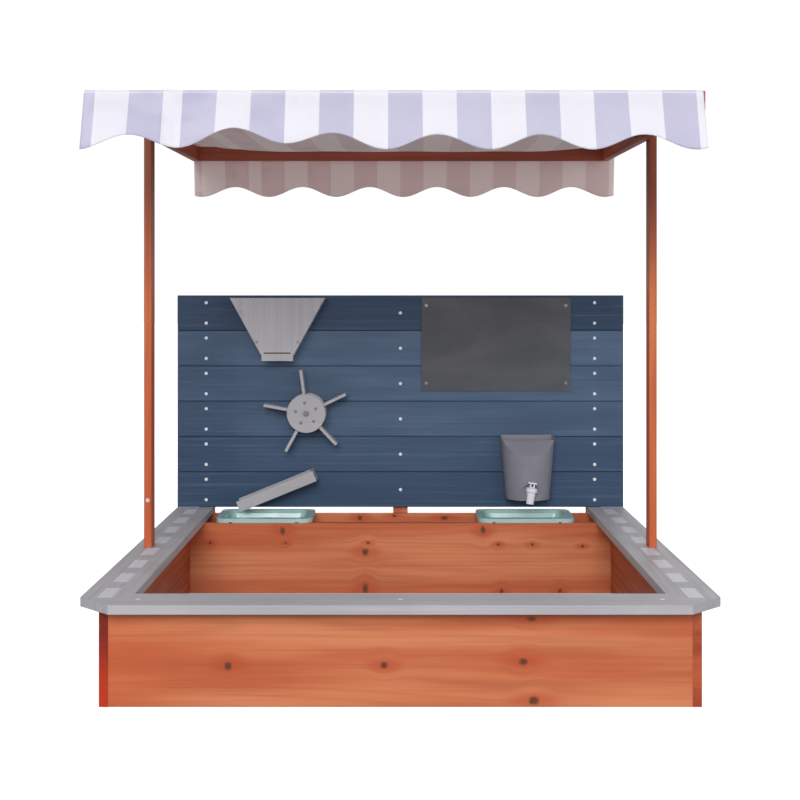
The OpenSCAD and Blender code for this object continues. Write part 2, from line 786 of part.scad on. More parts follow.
// Grid lines from edge to edge, with one at each end of the sagging part
sag_steps = 14;
function grid_lines(edge, inner) = concat([-edge],
    [for (i = [0 : sag_steps]) inner * (2 * i / sag_steps - 1)], [edge]);
module canopy_top() {
    xs = grid_lines(hem_w / 2, sag_x);
    ys = grid_lines(canopy_l / 2 + top_gap + fabric_t, sag_y);
    n = len(xs);
    last = n - 1;
    under = [for (y = ys, x = xs) [x, y, bar_top + top_gap - sag(x, y)]];
    over = [for (p = under) [p[0], p[1], p[2] + fabric_t]];
    up = n * n;
    cells = [for (j = [0 : last - 1], i = [0 : last - 1]) j * n + i];
    rim = concat([for (i = [0 : last - 1]) i], [for (j = [0 : last - 1]) j * n + last],
        [for (i = [last : -1 : 1]) last * n + i], [for (j = [last : -1 : 1]) j * n]);
    edges = [for (k = [0 : len(rim) - 1]) [rim[k], rim[(k + 1) % len(rim)]]];
    color("#d9d7e4") on_canopy() polyhedron(concat(under, over), concat(
        [for (c = cells) [c, c + 1, c + n + 1]], [for (c = cells) [c, c + n + 1, c + n]],
        [for (c = cells) [up + c, up + c + n + 1, up + c + 1]], [for (c = cells) [up + c, up + c + n, up + c + n + 1]],
        [for (e = edges) [e[0], up + e[0], up + e[1]]], [for (e = edges) [e[0], up + e[1], e[1]]]));
}

// A valance hanging from the roof's edge: its hem is a cosine wave that ends at low points
module valance(y, drop) {
    n = 16 * HEM_WAVES;
    hem = [for (i = [0 : n]) [hem_w * (i / n - 0.5), -drop - hem_wave * cos(360 * HEM_WAVES * i / n)]];
    color("#d9d7e4") on_canopy() translate([0, y, bar_top + top_gap]) face_front() linear_extrude(fabric_t)
        polygon(concat([[hem_w / 2, 0], [-hem_w / 2, 0]], hem));
}

// Pivots: a domed bolt through each post and side bar, drawn up by a small hand nut inside
knob_h = 14;
knob_r = 8;
knob_grip_r = 2.2;
module pivot_bolts() {
    color("#b9bbbe") for (s = [-1, 1])
        translate([s * (post_x + board_t), post_y, pivot_z]) rotate([0, s * 90, 0]) {
            cylinder(r = 8, h = 1.2);
            translate([0, 0, 1.2]) cylinder(r1 = 8, r2 = 4.5, h = 2.4);
            l = 2 * board_t + canopy_gap + CLEAR + knob_h - 3;
            translate([0, 0, -l]) cylinder(r = pivot_r, h = l);
        }
}
module knob(s) {
    color("#3a3c40") translate([s * (bar_x - board_t - CLEAR), post_y, pivot_z]) rotate([0, -s * 90, 0])
        difference() {
            union() {
                cylinder(r = 6, h = knob_h);
                translate([0, 0, 4]) cylinder(r = knob_r, h = knob_h - 4);
            }
            for (a = [0 : 72 : 288]) rotate(a) translate([knob_r + 1, 0, 3]) cylinder(r = knob_grip_r, h = knob_h);
            translate([0, 0, -1]) cylinder(r = pivot_r + FIT, h = knob_h - 1);
        }
}

// ---- what is drawn ----

side_board(-1);  // side_board_left
side_board(1);  // side_board_right
front_board();
inner_wall();
rear_wall();
box_screws();
rim_front();
rim_side(-1);  // rim_left
rim_side(1);  // rim_right
plank(1);  // plank_1
plank(2);  // plank_2
plank(3);  // plank_3
plank(4);  // plank_4
plank(5);  // plank_5
plank(6);  // plank_6
batten(0);  // batten_left
batten(1);  // batten_middle
batten(2);  // batten_right
wall_screws();
post(-1);  // post_left
post(1);  // post_right
post_screws();
funnel_front();
funnel_cheek(-1);  // funnel_cheek_left
funnel_cheek(1);  // funnel_cheek_right
funnel_gate();
toy_screws();
wheel_disc(toy_out - toy_t);  // wheel_disc_front
wheel_disc(wheel_back);  // wheel_disc_rear
wheel_paddle(1);  // wheel_paddle_1
wheel_paddle(2);  // wheel_paddle_2
wheel_paddle(3);  // wheel_paddle_3
wheel_paddle(4);  // wheel_paddle_4
wheel_paddle(5);  // wheel_paddle_5
wheel_screws();
wheel_bolt();
wheel_nut();
wheel_washers();
chute_front();
chute_back();
chute_floor();
chute_end();
blackboard();
tank_body();
tank_screws();
tap_body();
tap_handle();
tub(-batten_x + tub_left_in);  // tub_left
tub(batten_x - tub_right_in);  // tub_right
canopy_side_bar(-1);  // canopy_bar_left
canopy_side_bar(1);  // canopy_bar_right
canopy_cross_bar(-canopy_l / 2);  // canopy_bar_front
canopy_cross_bar(canopy_l / 2 - board_t);  // canopy_bar_rear
canopy_screws();
canopy_top();
valance(-canopy_l / 2 - top_gap, drop_front);  // valance_front
valance(canopy_l / 2 + top_gap + fabric_t, drop_rear);  // valance_rear
pivot_bolts();
knob(-1);  // knob_left
knob(1);  // knob_right
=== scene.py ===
# Looks of a child's sandbox: stained box, grey seat rim, blue play wall with its toys,
# two posts and a striped fabric canopy. Metres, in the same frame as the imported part.
import math

import bpy
import numpy as np
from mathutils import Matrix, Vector


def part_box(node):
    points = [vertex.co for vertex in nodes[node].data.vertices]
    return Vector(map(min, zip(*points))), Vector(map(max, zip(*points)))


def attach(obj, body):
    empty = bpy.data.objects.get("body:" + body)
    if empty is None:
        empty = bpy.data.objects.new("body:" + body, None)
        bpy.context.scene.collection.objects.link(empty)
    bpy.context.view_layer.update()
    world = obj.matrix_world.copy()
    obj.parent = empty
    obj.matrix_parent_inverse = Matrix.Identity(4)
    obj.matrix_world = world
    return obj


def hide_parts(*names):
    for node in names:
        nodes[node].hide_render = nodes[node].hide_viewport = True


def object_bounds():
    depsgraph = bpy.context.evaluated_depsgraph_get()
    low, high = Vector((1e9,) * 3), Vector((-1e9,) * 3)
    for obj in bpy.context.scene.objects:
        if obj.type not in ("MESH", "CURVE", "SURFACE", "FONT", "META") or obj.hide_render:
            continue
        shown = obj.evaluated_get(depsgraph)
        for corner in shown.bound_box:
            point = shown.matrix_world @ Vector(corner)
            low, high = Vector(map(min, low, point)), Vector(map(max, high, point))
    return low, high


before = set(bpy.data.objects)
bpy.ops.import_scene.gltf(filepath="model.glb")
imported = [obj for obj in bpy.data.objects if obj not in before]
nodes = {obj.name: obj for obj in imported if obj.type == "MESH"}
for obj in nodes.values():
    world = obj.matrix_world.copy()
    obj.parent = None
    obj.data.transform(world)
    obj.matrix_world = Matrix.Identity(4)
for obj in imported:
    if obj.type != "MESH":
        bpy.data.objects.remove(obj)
cad_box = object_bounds()

# ---- studio: a level camera in front of the box, a pale floor and soft light from above and in front ----

camera = bpy.data.objects.new("camera", bpy.data.cameras.new("camera"))
bpy.context.scene.collection.objects.link(camera)
camera.location = (0, -2.938, 0.741)
camera.rotation_euler = (math.radians(90), 0, 0)
camera.data.lens = 59.2
camera.data.shift_x = -0.0005
camera.data.shift_y = -0.124
bpy.context.scene.camera = camera


def soft_light(name, place, aim, size, watts):
    """A square softbox that faces a point."""
    lamp = bpy.data.lights.new(name, "AREA")
    lamp.size = size
    lamp.energy = watts
    holder = bpy.data.objects.new(name, lamp)
    holder.location = place
    holder.rotation_euler = (Vector(aim) - Vector(place)).to_track_quat("-Z", "Y").to_euler()
    bpy.context.scene.collection.objects.link(holder)


soft_light("key", (-0.5, -6.0, 2.8), (0, 0.2, 0.6), 2.8, 255)
soft_light("fill_right", (3.2, -5.2, 1.2), (0, 0, 0.6), 2.2, 45)
soft_light("back", (0.4, 3.6, 3.2), (0, 0, 0.6), 2.5, 60)

# White paper all round to the eye, but a soft dome to the object: dimmer, and dimmer still below the horizon.
sky = bpy.data.worlds.new("studio")
sky.use_nodes = True
tree = sky.node_tree
seen, output = tree.nodes["Background"], tree.nodes["World Output"]
seen.inputs["Color"].default_value = (1, 1, 1, 1)
seen.inputs["Strength"].default_value = 1.05
dome = tree.nodes.new("ShaderNodeBackground")
rise = tree.nodes.new("ShaderNodeMapRange")
split = tree.nodes.new("ShaderNodeSeparateXYZ")
towards = tree.nodes.new("ShaderNodeTexCoord")
chooser = tree.nodes.new("ShaderNodeMixShader")
ray = tree.nodes.new("ShaderNodeLightPath")
dome.inputs["Color"].default_value = (0.96, 0.97, 1.0, 1)
for socket, value in (("From Min", -0.25), ("From Max", 0.15), ("To Min", 0.34), ("To Max", 0.50)):
    rise.inputs[socket].default_value = value
for start, end in ((towards.outputs["Generated"], split.inputs[0]), (split.outputs["Z"], rise.inputs["Value"]),
                   (rise.outputs[0], dome.inputs["Strength"]), (ray.outputs["Is Camera Ray"], chooser.inputs[0]),
                   (dome.outputs[0], chooser.inputs[1]), (seen.outputs[0], chooser.inputs[2]),
                   (chooser.outputs[0], output.inputs["Surface"])):
    tree.links.new(start, end)
bpy.context.scene.world = sky
bpy.context.scene.view_settings.view_transform = "Standard"


def solid(name, corners, faces):
    """A mesh of flat faces between the corners."""
    mesh = bpy.data.meshes.new(name)
    mesh.from_pydata(corners, [], faces)
    piece = bpy.data.objects.new(name, mesh)
    bpy.context.scene.collection.objects.link(piece)
    return piece


def srgb(r, g, b):
    """A colour as seen on screen, 0 to 255, turned into the linear values that a shader takes."""
    c = np.array([r, g, b]) / 255
    return tuple(np.where(c > 0.04045, ((c + 0.055) / 1.055) ** 2.4, c / 12.92)) + (1.0,)


def shade(tone, *factors):
    """The same colour, darker or lighter: one factor for all three channels, or one for each."""
    by = factors * 3 if len(factors) == 1 else factors
    return tuple(min(1.0, c * f) for c, f in zip(tone[:3], by)) + (1.0,)


class Finish:
    """A material being made: its Principled shader, and short calls that each add one node to it."""

    def __init__(self, name, colour, roughness, **fixed):
        self.material = bpy.data.materials.new(name)
        self.material.use_nodes = True
        self.tree = self.material.node_tree
        self.shader = self.tree.nodes["Principled BSDF"]
        self.set(self.shader, {"Base Color": colour, "Roughness": roughness})
        for key, value in fixed.items():
            self.set(self.shader, {key.replace("_", " ").title().replace("Ior", "IOR"): value})
        self.place = self.add("TexCoord", {}).outputs["Object"]

    def set(self, node, inputs):
        for key, value in inputs.items():
            socket = node.inputs[key]
            if isinstance(value, bpy.types.NodeSocket):
                self.tree.links.new(value, socket)
            else:
                socket.default_value = value

    def add(self, kind, inputs, **props):
        node = self.tree.nodes.new("ShaderNode" + kind)
        for key, value in props.items():
            setattr(node, key, value)
        self.set(node, inputs)
        return node

    def math(self, operation, *values):
        return self.add("Math", dict(enumerate(values)), operation=operation).outputs[0]

    def axes(self, vector):
        return self.add("SeparateXYZ", {0: vector}).outputs

    def vector(self, x, y, z):
        return self.add("CombineXYZ", {0: x, 1: y, 2: z}).outputs[0]

    def scaled(self, vector, factors):
        return self.add("VectorMath", {0: vector, 1: factors}, operation="MULTIPLY").outputs[0]

    def noise(self, vector, scale, detail=3.0, distortion=0.0):
        inputs = {"Vector": vector, "Scale": scale, "Detail": detail, "Distortion": distortion}
        return self.add("TexNoise", inputs).outputs[0]

    def span(self, value, low, high, first=0.0, last=1.0):
        """A smooth step: first below low, last above high."""
        inputs = {"Value": value, "From Min": low, "From Max": high, "To Min": first, "To Max": last}
        return self.add("MapRange", inputs, interpolation_type="SMOOTHSTEP").outputs[0]

    def mix(self, factor, first, second):
        node = self.add("Mix", {}, data_type="RGBA")
        for socket, value in ((node.inputs[0], factor), (node.inputs[6], first), (node.inputs[7], second)):
            if isinstance(value, bpy.types.NodeSocket):
                self.tree.links.new(value, socket)
            else:
                socket.default_value = value
        return node.outputs[2]

    def relief(self, height, depth, round_edges=0.0):
        """Bump of a given depth in metres, over edges that look rounded by round_edges."""
        inputs = {"Height": height, "Strength": 1.0, "Distance": depth}
        if round_edges:
            edge = self.add("Bevel", {"Radius": round_edges}, samples=4)
            inputs["Normal"] = edge.outputs[0]
        self.set(self.shader, {"Normal": self.add("Bump", inputs).outputs[0]})


def dress(finish, *names):
    """Puts a finish on CAD nodes."""
    for name in names:
        piece = nodes[name]
        piece.data.materials.clear()
        piece.data.materials.append(finish.material)


floor = solid("floor", [(-40, -40, 0), (40, -40, 0), (40, 40, 0), (-40, 40, 0)], [(0, 1, 2, 3)])
pale = Finish("pale_floor", (0.88, 0.88, 0.89, 1), 0.75, emission_color=(1, 1, 1, 1))
from_box = pale.add("VectorMath", {0: pale.place}, operation="LENGTH").outputs["Value"]
pale.set(pale.shader, {"Emission Strength": pale.span(from_box, 1.2, 5.0, 0.6, 1.0)})
paper = pale.mix(pale.noise(pale.place, 3.0), (0.87, 0.87, 0.88, 1), (0.89, 0.89, 0.90, 1))
pale.set(pale.shader, {"Base Color": paper})
floor.data.materials.append(pale.material)
floor.visible_diffuse = False
floor.visible_glossy = False

# ---- box: planed softwood boards in an orange-brown stain, with knots and flowing grain ----
# The grain runs along each board. It is a smooth field, drawn out along the board and sliced into rings.


def stained_wood(name, along, pale_tone, deep_tone, knots=(), seed=0.0, loose_knots=0.0):
    """Stained softwood. Rings are the level lines of a noise field drawn out along the board.
    A knot is (place along the board, place across it, half length, half height), a dark oval with a red ring,
    and it bends the rings round itself. loose_knots scatters small ones, one to a cell, on the other boards."""
    wood = Finish(name, pale_tone, 0.5, specular_ior_level=0.35)
    x, y, z = wood.axes(wood.place)[:3]
    run, across, through = {"x": (x, z, y), "y": (y, z, x), "z": (z, x, y)}[along]
    ragged = wood.noise(wood.place, 190.0, 3.0)
    mark, ring_mark, push = 0.0, 0.0, 0.0
    for place, height, long, tall in knots:
        dx = wood.math("DIVIDE", wood.math("SUBTRACT", run, place), long)
        dz = wood.math("DIVIDE", wood.math("SUBTRACT", across, height), tall)
        away = wood.math("SQRT", wood.math("MULTIPLY_ADD", dx, dx, wood.math("MULTIPLY", dz, dz)))
        away = wood.math("MULTIPLY_ADD", wood.math("SUBTRACT", ragged, 0.5), 0.8, away)
        mark = wood.math("MAXIMUM", mark, wood.span(away, 0.35, 1.15, 1.0, 0.0))
        short = wood.math("MULTIPLY", dx, 0.4)
        drawn_out = wood.math("SQRT", wood.math("MULTIPLY_ADD", short, short, wood.math("MULTIPLY", dz, dz)))
        ring_mark = wood.math("MAXIMUM", ring_mark, wood.span(drawn_out, 0.6, 2.4, 1.0, 0.0))
        lean = wood.math("MULTIPLY", dz, wood.span(away, 0.0, 5.0, 1.0, 0.0))
        push = wood.math("MULTIPLY_ADD", lean, tall * 0.9, push)
    bent = wood.math("SUBTRACT", across, push)
    field = wood.vector(wood.math("ADD", wood.math("MULTIPLY", run, 0.28), seed), wood.math("MULTIPLY", bent, 6.5),
                        wood.math("MULTIPLY", through, 6.5))
    rings = wood.math("PINGPONG", wood.math("MULTIPLY", wood.noise(field, 1.6, 1.0), 30.0), 1.0)
    late = wood.span(rings, 0.45, 1.0)
    streaks = wood.noise(wood.vector(wood.math("MULTIPLY", run, 2.2), wood.math("MULTIPLY", bent, 150.0),
                                     wood.math("MULTIPLY", through, 150.0)), 1.0, 4.0)
    clouds = wood.noise(wood.vector(wood.math("MULTIPLY", run, 1.1), wood.math("MULTIPLY", bent, 14.0), seed),
                        1.4, 3.0)
    patches = wood.noise(wood.vector(wood.math("MULTIPLY", run, 3.0), wood.math("MULTIPLY", across, 7.0), seed + 5.0),
                         1.3, 2.0)
    if loose_knots:
        cell_place = wood.vector(wood.math("ADD", run, seed), across, through)
        cells = wood.add("TexVoronoi", {"Vector": cell_place, "Scale": 4.3})
        some = wood.math("LESS_THAN", wood.axes(cells.outputs["Color"])[0], loose_knots)
        near = wood.span(cells.outputs["Distance"], 0.02, 0.055, 1.0, 0.0)
        mark = wood.math("MAXIMUM", mark, wood.math("MULTIPLY", near, some))
        round_it = wood.span(cells.outputs["Distance"], 0.04, 0.2, 1.0, 0.0)
        ring_mark = wood.math("MAXIMUM", ring_mark, wood.math("MULTIPLY", round_it, some))
    tone = wood.mix(wood.span(clouds, 0.32, 0.68), pale_tone, deep_tone)
    tone = wood.mix(wood.span(patches, 0.45, 0.75, 0.0, 0.35), tone, deep_tone)
    darker = shade(deep_tone, 0.62)
    tone = wood.mix(wood.math("MULTIPLY", late, 0.16), tone, darker)
    tone = wood.mix(wood.span(streaks, 0.42, 0.72, 0.0, 0.26), tone, darker)
    reddish = shade(deep_tone, 0.88, 0.52, 0.42)
    tone = wood.mix(wood.math("MULTIPLY", ring_mark, 0.55), tone, reddish)
    tone = wood.mix(wood.math("MULTIPLY", mark, 0.92), tone, srgb(84, 50, 26))
    wood.colour = tone
    wood.set(wood.shader, {"Base Color": tone, "Roughness": wood.span(streaks, 0.3, 0.8, 0.42, 0.60)})
    raised = wood.math("ADD", wood.math("MULTIPLY", streaks, 0.6), wood.math("MULTIPLY", late, 0.5))
    wood.relief(raised, 0.0003, 0.0012)
    return wood


orange, rust = srgb(210, 128, 86), srgb(188, 94, 55)
front_knots = [(-0.3145, 0.075, 0.0085, 0.009), (-0.030, 0.077, 0.008, 0.008), (0.2237, 0.083, 0.0105, 0.0085),
               (0.239, 0.161, 0.012, 0.006), (0.243, 0.012, 0.012, 0.010)]
inner_knots = [(-0.298, 0.158, 0.008, 0.012), (-0.291, 0.128, 0.004, 0.004), (-0.089, 0.105, 0.010, 0.011),
               (-0.082, 0.128, 0.005, 0.005), (-0.089, 0.012, 0.009, 0.016), (-0.482, 0.128, 0.005, 0.005),
               (0.209, 0.161, 0.008, 0.012), (0.248, 0.124, 0.005, 0.005), (0.334, 0.124, 0.005, 0.005),
               (0.461, 0.120, 0.005, 0.005), (0.256, 0.006, 0.006, 0.008), (0.404, 0.006, 0.006, 0.008)]
rear_knots = [(-0.107, 0.166, 0.008, 0.008), (-0.016, 0.172, 0.008, 0.005), (0.116, 0.166, 0.012, 0.006)]

# The front board is redder towards its left end, and darker just under the rim as painted shade of the rim's
# overhang.
front_wood = stained_wood("stained_front_board_painted_shade", "x", orange, rust, front_knots, 3.1)
x, _, z = front_wood.axes(front_wood.place)[:3]
left_end = front_wood.span(x, -0.56, -0.30, 0.45, 0.0)
# Painted shade: a dark band on the board just under the rim, where the rim's overhang shades it.
painted_shade_under_rim = front_wood.span(z, 0.150, 0.180, 0.0, 0.55)
warm = front_wood.mix(left_end, front_wood.colour, srgb(196, 88, 44))
front_wood.set(front_wood.shader, {"Base Color": front_wood.mix(painted_shade_under_rim, warm, srgb(150, 62, 34))})
dress(front_wood, "front_board")
dress(stained_wood("stained_inner_wall", "x", orange, rust, inner_knots, 7.7), "inner_wall")
dress(stained_wood("stained_rear_wall", "x", orange, rust, rear_knots, 11.9), "rear_wall")

# The end grain of the side boards drinks more stain, and the left board's most.
side_wood = stained_wood("stained_side_boards", "y", srgb(184, 90, 52), srgb(150, 60, 34), seed=5.3, loose_knots=0.3)
x, y, z = side_wood.axes(side_wood.place)[:3]
end_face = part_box("side_board_left")[0][1]
end_grain = side_wood.math("MULTIPLY", side_wood.span(y, end_face + 0.0006, end_face + 0.0014, 1.0, 0.0),
                           side_wood.span(x, -0.3, 0.3, 0.95, 0.15))
soaked = side_wood.mix(side_wood.span(z, 0.02, 0.15), srgb(184, 48, 8), srgb(118, 20, 6))
side_wood.set(side_wood.shader, {"Base Color": side_wood.mix(end_grain, side_wood.colour, soaked)})
dress(side_wood, "side_board_left", "side_board_right")

# ---- battens, posts and canopy bars: narrow stained stock ----
# The same stain, a little redder on the canopy bars. Bars and post tops are darkened as painted canopy shade.

dress(stained_wood("stained_battens", "z", orange, rust, seed=1.7, loose_knots=0.25),
      "batten_left", "batten_middle", "batten_right")
post_wood = stained_wood("stained_posts_painted_shade", "z", srgb(216, 124, 74), srgb(190, 90, 46), seed=9.1)
# Painted shade: the posts darken towards the roof, where the canopy shades them.
painted_canopy_shade = post_wood.span(post_wood.axes(post_wood.place)[2], 0.70, 1.02, 0.0, 0.7)
post_wood.set(post_wood.shader, {"Base Color": post_wood.mix(painted_canopy_shade, post_wood.colour, srgb(108, 36, 10))})
dress(post_wood, "post_left", "post_right")
# Painted shade: the bars' tones are darker than the other stained wood, for the shade under the canopy roof.
dress(stained_wood("stained_cross_bars_painted_shade", "x", srgb(196, 104, 78), srgb(168, 82, 60), seed=4.4),
      "canopy_bar_front", "canopy_bar_rear")
dress(stained_wood("stained_side_bars_painted_shade", "y", srgb(188, 96, 66), srgb(158, 74, 50), seed=6.2),
      "canopy_bar_left", "canopy_bar_right")

# ---- seat rim: three grey painted boards, with a row of pale painted rectangles on each side board ----
# The paint is thin, so the grain shows through as faint streaks.


def grey_paint(name, along, tone, worn=0.18, seed=0.0):
    """Thin grey paint on wood: long faint streaks, small clouds and a slightly raised grain."""
    paint = Finish(name, tone, 0.5, specular_ior_level=0.4)
    x, y, z = paint.axes(paint.place)[:3]
    run, across, through = {"x": (x, z, y), "y": (y, x, z), "z": (z, x, y)}[along]
    streaks = paint.noise(paint.vector(paint.math("ADD", paint.math("MULTIPLY", run, 3.0), seed),
                                       paint.math("MULTIPLY", across, 160.0),
                                       paint.math("MULTIPLY", through, 160.0)), 1.0, 4.0)
    clouds = paint.noise(paint.place, 6.0, 3.0)
    colour = paint.mix(paint.span(clouds, 0.3, 0.7), tone, shade(tone, 1.14))
    colour = paint.mix(paint.span(streaks, 0.45, 0.75, 0.0, worn * 2.5), colour, shade(tone, 0.74))
    paint.set(paint.shader, {"Base Color": colour, "Roughness": paint.span(streaks, 0.3, 0.7, 0.44, 0.58)})
    paint.grain, paint.colour = streaks, colour
    paint.relief(streaks, 0.00025, 0.0015)
    return paint


rim_grey = srgb(168, 166, 169)
dress(grey_paint("grey_front_rim", "x", rim_grey), "rim_front")

painted_side = grey_paint("grey_side_rims", "y", rim_grey, seed=2.0)
x, y, z = painted_side.axes(painted_side.place)[:3]
from_side = painted_side.math("ABSOLUTE", painted_side.math("SUBTRACT", painted_side.math("ABSOLUTE", x), 0.5445))
between = painted_side.math("SUBTRACT", from_side, 0.0145)
pitch, length, first = 0.1356, 0.083, cad_box[0][1] + 0.060
turn = painted_side.math("MODULO", painted_side.math("SUBTRACT", y, first - 10 * pitch), pitch)
inside = [painted_side.span(between, -0.0004, 0.0004, 1.0, 0.0), painted_side.span(turn, 0.0, 0.0008),
          painted_side.span(turn, length - 0.0008, length, 1.0, 0.0), painted_side.math("GREATER_THAN", z, 0.1945),
          painted_side.math("GREATER_THAN", y, first - 0.002), painted_side.math("LESS_THAN", y, first + 7.9 * pitch)]
patch = inside[0]
for edge in inside[1:]:
    patch = painted_side.math("MULTIPLY", patch, edge)
worn_through = painted_side.span(painted_side.grain, 0.4, 0.75, 0.0, 0.4)
lilac = painted_side.mix(worn_through, srgb(206, 204, 214), srgb(182, 179, 190))
painted_side.set(painted_side.shader, {"Base Color": painted_side.mix(patch, painted_side.colour, lilac)})
dress(painted_side, "rim_left", "rim_right")

# ---- play wall: six planks in a dark blue glaze, open enough for the grain to show ----
# Each plank has its own depth of stain, from the lowest to the top one, found from its height on the wall.

planks = [f"plank_{i}" for i in range(1, 7)]
plank_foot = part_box("plank_1")[0][2]
plank_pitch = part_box("plank_2")[0][2] - plank_foot
blue = Finish("blue_glazed_planks", srgb(70, 90, 116), 0.5, specular_ior_level=0.35)
x, y, z = blue.axes(blue.place)[:3]
number = blue.math("FLOOR", blue.math("DIVIDE", blue.math("SUBTRACT", z, plank_foot), plank_pitch))
shift = blue.math("MULTIPLY", number, 3.7)
own_tone = 0.0
depth_of_stain = (0.80, 0.70, 0.35, 0.20, 0.0, 1.0)
for place, stain in enumerate(depth_of_stain):
    is_this = blue.math("COMPARE", number, place, 0.5)
    own_tone = blue.math("MULTIPLY_ADD", is_this, stain, own_tone)
field = blue.vector(blue.math("MULTIPLY_ADD", x, 0.3, shift), blue.math("MULTIPLY", z, 8.0), shift)
rings = blue.math("PINGPONG", blue.math("MULTIPLY", blue.noise(field, 1.5, 2.0), 18.0), 1.0)
streaks = blue.noise(blue.vector(blue.math("MULTIPLY_ADD", x, 2.6, shift), blue.math("MULTIPLY", z, 170.0),
                                 blue.math("MULTIPLY", y, 170.0)), 1.0, 4.0)
clouds = blue.noise(blue.vector(blue.math("MULTIPLY_ADD", x, 2.0, shift), blue.math("MULTIPLY", z, 9.0), shift),
                    1.5, 3.0)
colour = blue.mix(blue.span(clouds, 0.3, 0.7), srgb(66, 90, 118), srgb(84, 108, 136))
colour = blue.mix(own_tone, colour, srgb(32, 60, 90))
colour = blue.mix(blue.span(x, -0.58, -0.20, 0.50, 0.0), colour, srgb(38, 58, 86))
colour = blue.mix(blue.span(rings, 0.5, 1.0, 0.0, 0.16), colour, srgb(56, 72, 96))
colour = blue.mix(blue.span(streaks, 0.52, 0.78, 0.0, 0.24), colour, srgb(110, 132, 158))
blue.set(blue.shader, {"Base Color": colour, "Roughness": blue.span(streaks, 0.3, 0.7, 0.45, 0.6)})
blue.relief(blue.math("ADD", streaks, blue.math("MULTIPLY", rings, 0.4)), 0.0003, 0.001)
dress(blue, *planks)

# A strip of dark glaze shuts the narrow joint above each plank but the last; its near-black colour is partly painted
# shade in the joint. It lies between the two faces of the wall, let 0.2 mm into both planks.
joint_shade = Finish("joint_glaze_and_painted_shade", srgb(24, 34, 50), 0.6)
box_faces = [(3, 2, 1, 0), (4, 5, 6, 7), (0, 1, 5, 4), (1, 2, 6, 5), (2, 3, 7, 6), (3, 0, 4, 7)]
for lower, upper in zip(planks, planks[1:]):
    (left, face, _), (right, back, top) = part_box(lower)
    front, rear, low, high = face + 0.006, back - 0.005, top - 0.0002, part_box(upper)[0][2] + 0.0002
    rows = [(front, low), (rear, low), (rear, high), (front, high)]
    ends = [(x, y, z) for x in (left + 0.001, right - 0.001) for y, z in rows]
    strip = solid("glaze_" + upper, ends, box_faces)
    strip.data.materials.append(joint_shade.material)
    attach(strip, "frame")

# ---- screws and bolts ----
# Pale plated heads on the wall and the box, darker zinc on the toys, pinkish caps on the posts.


def plated(name, tone, roughness, metal):
    """Plated or painted metal with a fine uneven polish."""
    steel = Finish(name, tone, roughness, metallic=metal)
    marks = steel.noise(steel.place, 900.0, 2.0)
    steel.set(steel.shader, {"Roughness": steel.span(marks, 0.3, 0.7, roughness - 0.06, roughness + 0.1)})
    steel.set(steel.shader, {"Base Color": steel.mix(marks, tone, shade(tone, 0.82))})
    return steel


dress(plated("pale_screw_heads", srgb(238, 236, 238), 0.35, 0.0), "box_screws", "wall_screws", "canopy_screws")
dress(plated("capped_heads", srgb(232, 214, 212), 0.4, 0.0), "post_screws")
dress(plated("zinc", srgb(132, 125, 118), 0.34, 1.0), "toy_screws", "wheel_screws", "wheel_bolt", "wheel_nut",
      "wheel_washers", "tank_screws", "pivot_bolts")

# ---- funnel, wheel and chute: small grey painted boards ----
# The paint is a little bluer and smoother than on the rim.

toy_grey = srgb(166, 165, 170)
# Painted light: the funnel's copy of the paint is a little lighter, making up for the canopy's shade over the top
# row.
dress(grey_paint("grey_funnel_painted_light", "z", srgb(170, 169, 174), 0.12),
      "funnel_front", "funnel_cheek_left", "funnel_cheek_right")
dress(grey_paint("grey_wheel", "x", toy_grey, 0.08, 3.0), "wheel_disc_front", "wheel_disc_rear",
      *[f"wheel_paddle_{i}" for i in range(1, 6)])
dress(grey_paint("grey_chute", "x", toy_grey, 0.08, 6.0), "chute_front", "chute_back", "chute_floor", "chute_end")
dress(stained_wood("brown_hardboard", "x", srgb(112, 92, 78), srgb(90, 72, 60), seed=2.0), "funnel_gate")

# ---- blackboard: a thin matt dark grey panel with faint wiped chalk ----

slate = Finish("blackboard_grey", srgb(78, 80, 84), 0.78, specular_ior_level=0.3)
wiped = slate.noise(slate.scaled(slate.place, (1.0, 1.0, 2.4)), 5.0, 4.0, 0.6)
specks = slate.noise(slate.place, 420.0, 2.0)
colour = slate.mix(slate.span(wiped, 0.35, 0.75), srgb(84, 86, 90), srgb(96, 98, 102))
colour = slate.mix(slate.span(specks, 0.66, 0.74, 0.0, 0.35), colour, srgb(124, 126, 130))
slate.set(slate.shader, {"Base Color": colour})
slate.relief(specks, 0.00012, 0.0008)
dress(slate, "blackboard")

# ---- water tank, tap and knobs: moulded plastic ----


def moulded(name, tone, roughness, texture=0.00006, **fixed):
    """Moulded plastic: nearly even colour, a faint haze and a fine spark-eroded surface."""
    plastic = Finish(name, tone, roughness, **fixed)
    haze = plastic.noise(plastic.place, 18.0, 3.0)
    grain = plastic.noise(plastic.place, 1600.0, 2.0)
    plastic.set(plastic.shader, {"Base Color": plastic.mix(plastic.span(haze, 0.3, 0.7), tone, shade(tone, 0.90)),
                                 "Roughness": plastic.span(haze, 0.3, 0.7, roughness, roughness + 0.08)})
    plastic.relief(grain, texture, 0.0012)
    return plastic


dress(moulded("grey_tank", srgb(134, 134, 144), 0.38), "tank_body")
dress(moulded("white_tap", srgb(232, 230, 240), 0.25, 0.00002, subsurface_weight=0.1, subsurface_scale=0.004),
      "tap_body", "tap_handle")
dress(moulded("black_knobs", srgb(58, 59, 62), 0.45), "knob_left", "knob_right")

# ---- tubs: two mint green moulded tubs that hang by their lips ----

dress(moulded("mint_tubs", srgb(168, 204, 202), 0.2, 0.00003, coat_weight=0.2), "tub_left", "tub_right")

# ---- canopy: one striped sheet, from the front hem over the frame to the rear hem ----
# A strong woven fabric, white outside with lavender stripes, stitched in a pocket over the front and rear bars.
# It sags between the bars, and its two ends hang down as scalloped valances.

